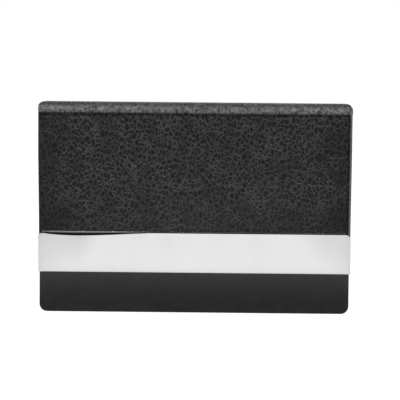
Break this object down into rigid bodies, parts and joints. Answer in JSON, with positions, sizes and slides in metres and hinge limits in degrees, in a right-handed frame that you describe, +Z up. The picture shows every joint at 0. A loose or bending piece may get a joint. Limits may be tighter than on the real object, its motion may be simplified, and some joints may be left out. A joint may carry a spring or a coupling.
{
  "type": "business card case",
  "caption": "Upright pocket case for business cards: steel tray, smooth leather pocket and a grained leather front flap with a polished band held shut by magnets.",
  "frame": {"origin": "middle of the bottom edge, at the centre of the case's width and depth", "axes": "+X to the right seen from the front, +Y towards the back cover, +Z up towards the hinge; the flap faces -Y"},
  "size_m": [0.095, 0.014, 0.064],
  "materials": {
    "grain_leather": "pebbled, semi-matt black",
    "smooth_leather": "smooth, semi-matt black",
    "polished_steel": "mirror polished stainless steel",
    "tray_steel": "finely brushed stainless steel",
    "plated_steel": "nickel plated",
    "microfibre": "short black nap",
    "tape_cloth": "woven black tape",
    "foam": "thin closed-cell foam sheet",
    "grey_board": "plain bookbinding board",
    "black_plastic": "moulded, matt"
  },
  "bodies": {
    "body": {"tray_shell": "tray_steel", "back_lining": "microfibre", "floor_lining": "microfibre", "pocket_plate": "tray_steel", "pocket_foam": "foam", "pocket_leather": "smooth_leather", "keeper_left": "plated_steel", "keeper_right": "plated_steel", "back_board": "grey_board", "back_leather": "grain_leather", "hinge_leather": "grain_leather", "hinge_tape": "tape_cloth"},
    "flap": {"flap_leather": "grain_leather", "flap_foam": "foam", "flap_plate": "plated_steel", "flap_lining": "microfibre", "trim_band": "polished_steel", "magnet_carrier": "black_plastic", "magnet_left": "plated_steel", "magnet_right": "plated_steel"}
  },
  "joints": [
    {"name": "flap_hinge", "type": "hinge", "parent": "body", "child": "flap", "pos_m": [0, -0.00544, 0.06304], "axis": [-1, 0, 0], "range_deg": [0, 180], "deforming": ["hinge_leather", "hinge_tape"]}
  ]
}
